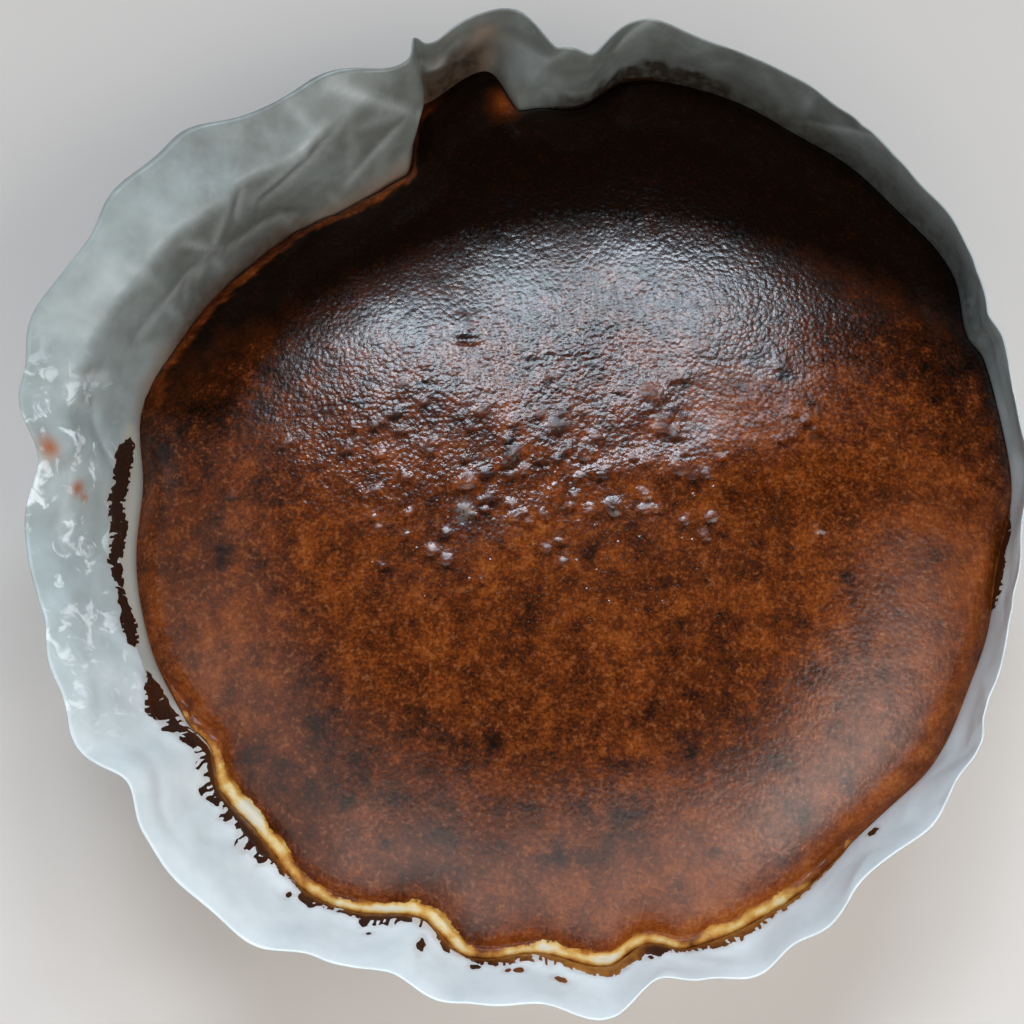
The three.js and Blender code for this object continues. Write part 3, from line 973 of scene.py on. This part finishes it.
def paper_marks(flat, above, angles):
    """Masks of the marks inside the standing paper, painted shade and painted sheen among them."""
    cover = film_cover(angles, above)
    hidden = fade(angles, *BETWEEN_FOLDS)
    tan = stains(TAN_BANDS, angles, above) + 0.30 * between(cover, -1.2, 0.0)
    tan += 0.75 * between(hidden, 0, 0.6) * between(above + 6 * noise(flat, 8, 86), 20, 6)
    char = 0.9 * fade(angles, 86, 12, 22) * between(above, 2.5, 0.5)
    # Painted shade, with some soot, low on the wall near the rim
    shade_and_soot = stains(SHADE_AND_SOOT_BANDS, angles, above) + stains(FRAYED_SHADE_BANDS, angles, above + 3.0 * noise(flat, 4, 97))
    # Painted shade between the tall folds
    shade_and_soot += 0.9 * between(hidden, 0.0, 0.7) * between(above + 4 * noise(flat, 7, 87), 17, 6)
    left_band = between(above, 8, 5) * sector(angles, 190, 26, 24)
    beige = np.maximum(left_band, 0.3 * between(cover, -1.8, -0.5) * between(angles, 206, 212))
    spot = np.zeros(len(flat))
    for at, high, wide in BROWN_SPOTS:
        away = np.hypot(turn(at, angles) * MM_PER_DEGREE, above - high) / wide
        spot = np.maximum(spot, np.exp(-(away**2)))
    # Painted sheen, mostly on the paper at the left
    painted_sheen = np.maximum(sector(angles, 188, 34, 26, 0.5), 0.03) * between(above, 7, 14)
    near_rim = between(above, -7, -1)
    low_marks = {"tan": tan, "beige": beige, "char": char, "shade_and_soot": np.clip(shade_and_soot, 0, 1)}
    return {"spot": spot, "painted_sheen": painted_sheen, **{key: mark * near_rim for key, mark in low_marks.items()}}


def make_paper():
    """Makes the sheet; gives the points of its inner face and the normals there."""
    theta = np.arange(AROUND) * 360 / AROUND
    inner, above = paper_grid(theta)
    rows = len(inner)
    index = np.arange(rows * AROUND).reshape(rows, AROUND)
    quads = strip(index[:-1], index[1:]).reshape(-1, 4)
    angles = np.tile(theta, rows)
    above = above.reshape(-1)
    flat = inner.reshape(-1, 3)
    lift, crease_sheen = paper_relief(flat, above, angles)
    flat = flat + normals_of(flat, quads) * lift[:, None]
    normal = normals_of(flat, quads)
    outer = flat + normal * SHEET_THICKNESS
    outer[:, 2] = np.maximum(outer[:, 2], FLOOR_GAP)

    size = len(flat)
    middles = [(0, 0, PAPER_THICKNESS), (0, 0, FLOOR_GAP)]
    points = np.concatenate([flat, outer, middles])
    edge = strip(index[-1], index[-1] + size)
    first, following = index[0], np.roll(index[0], -1)
    inside = [(2 * size, a, b) for a, b in zip(first, following)]
    outside = [(2 * size + 1, b + size, a + size) for a, b in zip(first, following)]
    faces = [*quads[:, ::-1], *(quads + size), *edge[:, ::-1], *inside, *outside]

    unmarked = np.zeros(len(middles))
    marks = paper_marks(flat, above, angles)
    masks = {key: np.concatenate([mark, SHOWS_THROUGH * mark, unmarked]) for key, mark in marks.items()}
    toasted = between(clouds(flat, 24, 3, 0.6, seed=88), -0.1, 0.5) * between(above, 6, -8)
    masks["tan"][size : 2 * size] += 0.30 * toasted * between(above, -45, -30)
    # Paler towards the turned-out edge at the upper left
    paler_edge = between(above, 20, 32) * fade(angles, 150, 30, 30)
    grease_and_shade = np.interp(angles, GREASE_AND_SHADE[:, 0], GREASE_AND_SHADE[:, 1]) - 0.16 * paler_edge
    masks["grease_and_shade"] = np.concatenate([grease_and_shade, 0.12 + 0.5 * grease_and_shade, unmarked])
    # Painted highlight along creases, inside and out
    masks["crease_sheen"] = np.concatenate([crease_sheen, crease_sheen, unmarked])
    paper = make_piece("paper_sheet", points, faces, [paper_material()], masks)
    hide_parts("paper_liner")
    return flat.reshape(rows, AROUND, 3), normal.reshape(rows, AROUND, 3)


# Burnt film on the paper: angle, lower edge, upper edge, length of its roots, darkness
FILM = np.array((
    (172.5, 6, 3, 0, 1), (174.3, 3.3, 5.5, 0.5, 1), (176.5, 4.8, 9.6, 1, 1),
    (179, 6.4, 11, 1, 1), (182.8, 6.8, 11.4, 0.9, 1), (185.5, 5, 8.6, 0.8, 1),
    (187.5, 5, 8, 0.9, 1), (190, 5.6, 9.4, 0.7, 1), (193, 5.6, 7, 0.6, 1),
    (196.3, 4.6, 6.8, 0.6, 1), (198.8, 3.8, 8.5, 1, 1), (200.6, 5.6, 9.4, 0.8, 1),
    (201.4, 8, 6, 0, 1), (203.8, 7, 4.5, 0, 0.9), (204.8, 4.8, 6, 0.5, 0.9),
    (206.5, 4.2, 8.6, 1, 0.8), (208, 4, 9.4, 1.5, 0.8), (209.3, 4.5, 8.4, 2, 0.9),
    (211, 3.6, 6.4, 2, 1), (214.8, 1.8, 4.6, 2.5, 1), (217.5, 0.4, 3.4, 3.5, 1),
    (222, 0.4, 3.2, 2.5, 1), (225, -0.2, 3.4, 2.5, 0.9), (228.8, -0.6, 4.8, 3.5, 0.9),
    (231, -0.6, 3.4, 2.5, 0.9), (233, -0.6, 2, 2, 0.8), (235, 0.5, 0.6, 1, 0.7),
    (238, 0.3, 3.8, 2, 0.8), (242, 0.5, 1, 1.5, 0.7), (245, 0.2, 4.2, 1.2, 0.9),
    (249.2, -0.4, 2.6, 2, 0.9), (251, 0.5, 0.6, 2.5, 0.8), (254.5, -0.6, 3.4, 1, 0.6),
    (257, 0, 0.6, 1.2, 0.7), (259, 0, 2.6, 1.2, 0.8), (262.5, -0.6, 4.2, 1.2, 0.35),
    (264.5, -0.6, 0.8, 2.5, 0.35), (267, -0.6, 2.8, 1.5, 0.3), (270, -0.6, 3.2, 0.8, 0.12),
    (277, -0.6, 4.5, 0.8, 0.2), (279.5, -0.6, 6, 1, 0.9), (281, -0.6, 2, 1, 0.8),
    (288, -0.6, 2.6, 1.5, 0.4), (296, -0.6, 2.4, 1, 0.3), (301, -0.6, 1.4, 0.6, 0.4),
    (306, -0.6, 1.2, 0, 0.6), (309, 0, -4, 0, 0.6), (341, 0, -4, 0, 0.9),
    (344, -0.6, 1.6, 1.2, 0.9), (349, -0.6, 3.8, 1.2, 0.9), (354, -0.6, 2.4, 1.2, 0.9),
    (358, -0.3, -1, 0, 0.9),
))

# Loose chips of film: angle, length above the rim, half sizes across and along
CHIPS = (
    (252, 8.3, 0.9, 2), (258.5, 5, 1.2, 1), (262.3, 6.6, 0.8, 0.7), (263.4, 7, 1.4, 0.9),
    (268.2, 7.8, 1.5, 1), (309.5, 4.8, 1.6, 1.3), (236, 5.5, 0.6, 0.9), (246, 8, 0.5, 0.5),
)

FILM_SPAN = (171.0, 359.5)
FILM_STEP = 0.1  # degrees
FILM_LOW = -0.8
FILM_HIGH = 16.0
FILM_ROWS = 68
NO_FILM = -9.0


def film_cover(theta, above):
    """Above zero where burnt film covers the paper, in millimetres inside its edge."""
    arc = np.radians(theta) * CAKE_RADIUS
    low, top, roots = (np.interp(theta, FILM[:, 0], FILM[:, k]) for k in (1, 2, 3))
    flat = np.stack([arc, above, 0 * arc], -1)
    blunt = noise(flat, 2.6, 90)
    fine = noise(flat, 1.1, 91)
    top = top + 0.7 * blunt + 0.35 * fine
    low = low - 0.6 * blunt + 0.35 * fine
    body = np.minimum(top - above, above - low)
    body -= 2.6 * between(noise(flat * (1, 0.7, 1), 1.9, 96), 0.25, 0.70) * between(low, 1.0, 3.0)
    wavering = flat * (1, 0.22, 1) + 0.5 * np.stack([noise(flat, 2.5, 92), 0 * arc, 0 * arc], -1)
    vein = 0.75 * (0.30 - np.abs(noise(wavering, 1.7, 93)))
    root_top = top + roots * (0.9 + 0.9 * noise(flat * (1, 0.1, 1), 2.2, 94))
    root_low = low - 0.7 * roots * (low > 2)
    fringe = np.min([vein, root_top - above, above - root_low], axis=0)
    cover = np.maximum(body, fringe)
    for at, high, across, along in CHIPS:
        away = np.hypot(turn(at, theta) * MM_PER_DEGREE / across, (above - high) / along)
        cover = np.maximum(cover, min(across, along) * (1 - away + 0.35 * fine))
    inside = (theta > FILM_SPAN[0]) & (theta < FILM_SPAN[1])
    return np.where(inside, cover, NO_FILM)


def make_film(inner, normal):
    """Makes the burnt film, lifted off the paper's inner face."""
    theta = np.arange(*FILM_SPAN, FILM_STEP)
    around, up = np.meshgrid(theta, np.linspace(FILM_LOW, FILM_HIGH, FILM_ROWS))
    rise, _, fold, _ = brim_at(around)
    rim_row = len(BASE_SHARES) + len(FILLET_ANGLES) + len(WALL_SHARES) - 1
    step_above = (rise + fold) / FREE_STEPS
    step_below = (rim_height(around) - PAPER_THICKNESS - BASE_FILLET) / len(WALL_SHARES)
    row = rim_row + np.where(up > 0, up / step_above, up / step_below)
    row = np.minimum(row, len(inner) - 1.001)
    column = around / 360 * AROUND
    below, left = np.floor(row).astype(int), np.floor(column).astype(int)
    right = (left + 1) % AROUND
    upward, sideways = (row - below)[..., None], (column - left)[..., None]

    def sample(grid):
        low = lerp(grid[below, left], grid[below, right], sideways)
        high = lerp(grid[below + 1, left], grid[below + 1, right], sideways)
        return lerp(low, high, upward)

    base, out = sample(inner), sample(normal)
    cover = film_cover(around, up)
    lift = np.clip(0.45 * cover, -0.22, 0.16) + 0.05 * noise(base, 1.2, 95) * (cover > 0)
    points = (base - out * lift[..., None]).reshape(-1, 3)
    index = np.arange(around.size).reshape(around.shape)
    quads = np.stack([index[:-1, :-1], index[:-1, 1:], index[1:, 1:], index[1:, :-1]], -1).reshape(-1, 4)
    quads = quads[(cover.reshape(-1)[quads] > 0).any(axis=1)]
    used, quads = np.unique(quads, return_inverse=True)
    quads = quads.reshape(-1, 4)
    dark = np.interp(around, FILM[:, 0], FILM[:, 4])
    thick = dark * lerp(0.22, 0.95, between(up, 0.2, 5.0)) - 0.1 * between(up, 1.4, 0.0)
    thick = np.maximum(thick, 0.55 * between(around, 336, 343))
    thick = np.where(cover < 0.25, np.maximum(thick, 0.45 * dark), thick)
    masks = {"thick": np.clip(thick, 0, 1).reshape(-1)[used]}
    make_piece("burnt_film", points[used], quads, [film_material()], masks)


# Lights, in metres and degrees
WINDOW_AWAY = 1.0
DAYLIGHT = (0.75, 0.88, 1.0)
FILL_AWAY = 1.3
FILL_TARGET = 0.06  # height on the cake's axis that the softboxes face

# Windows behind the cake: name, place to the right, height, size, tilt, radiance
WINDOWS = (
    ("window_left", -0.31, 1.85, (0.88, 0.68), 18, 22.5),
    ("window_right", 0.36, 1.62, (0.46, 0.44), 0, 26.5),
)

# Softboxes round the cake: name, azimuth, elevation, size, radiance, colour
FILLS = (
    ("right_fill", -28, 51, (0.70, 0.50), 4.9, (1.0, 0.97, 0.93)),
    ("front_fill", -86, 52, (1.20, 0.80), 1.9, (0.97, 1.0, 1.0)),
    ("left_fill", -150, 47, (1.10, 0.75), 1.0, (1.0, 0.97, 0.95)),
)
SKY_COLOUR = (0.9, 0.95, 1.0, 1)
SKY_STRENGTH = 0.03

# Floor, in metres
FLOOR_HALF = 4.0
FLOOR_COLOUR = (0.74, 0.68, 0.64, 1)
FLOOR_ROUGHNESS = 0.9

# Camera, in millimetres and degrees
EYE = (-15.2, -127.0, 502.5)
EYE_TILT = 15
SENSOR = 36
LENS_SHARE = 1850 / 1024  # focal length as a share of the picture's width
NEAREST = 0.01  # metres


def area_lamp(name, shape, size, area, radiance, colour):
    light = bpy.data.lights.new(name, "AREA")
    light.shape = shape
    light.size, light.size_y = size
    light.energy = radiance * math.pi * area
    light.color = colour
    return add_object(name, light)


def make_floor():
    corners = [(x * FLOOR_HALF, y * FLOOR_HALF, 0) for x, y in ((-1, -1), (1, -1), (1, 1), (-1, 1))]
    mesh = bpy.data.meshes.new("floor")
    mesh.from_pydata(corners, [], [(0, 1, 2, 3)])
    m = Nodes("pale_floor")
    m.give("Base Color", FLOOR_COLOUR)
    m.give("Roughness", FLOOR_ROUGHNESS)
    mesh.materials.append(m.material)
    floor = add_object("floor", mesh)


def make_lights():
    world = bpy.data.worlds.new("studio")
    world.use_nodes = True
    background = world.node_tree.nodes["Background"]
    background.inputs["Color"].default_value = SKY_COLOUR
    background.inputs["Strength"].default_value = SKY_STRENGTH
    bpy.context.scene.world = world
    for name, right, high, size, tilt, radiance in WINDOWS:
        lamp = area_lamp(name, "ELLIPSE", size, math.pi / 4 * size[0] * size[1], radiance, DAYLIGHT)
        lamp.location = (right, WINDOW_AWAY, high)
        lamp.rotation_euler = (-math.pi / 2, math.radians(tilt), 0)
    for name, azimuth, elevation, size, radiance, colour in FILLS:
        lamp = area_lamp(name, "RECTANGLE", size, size[0] * size[1], radiance, colour)
        a, e = math.radians(azimuth), math.radians(elevation)
        away = FILL_AWAY * math.cos(e)
        lamp.location = (away * math.cos(a), away * math.sin(a), FILL_TARGET + FILL_AWAY * math.sin(e))
        lamp.rotation_euler = (math.pi / 2 - e, 0, math.pi / 2 + a)


def make_camera():
    camera = bpy.data.cameras.new("camera")
    camera.sensor_width = SENSOR
    camera.lens = LENS_SHARE * SENSOR
    camera.clip_start = NEAREST
    eye = add_object("camera", camera)
    eye.location = [MM * length for length in EYE]
    eye.rotation_euler = (math.radians(EYE_TILT), 0, 0)
    bpy.context.scene.camera = eye
    bpy.context.scene.view_settings.view_transform = "Standard"


make_cake()
make_film(*make_paper())
make_floor()
make_lights()
make_camera()
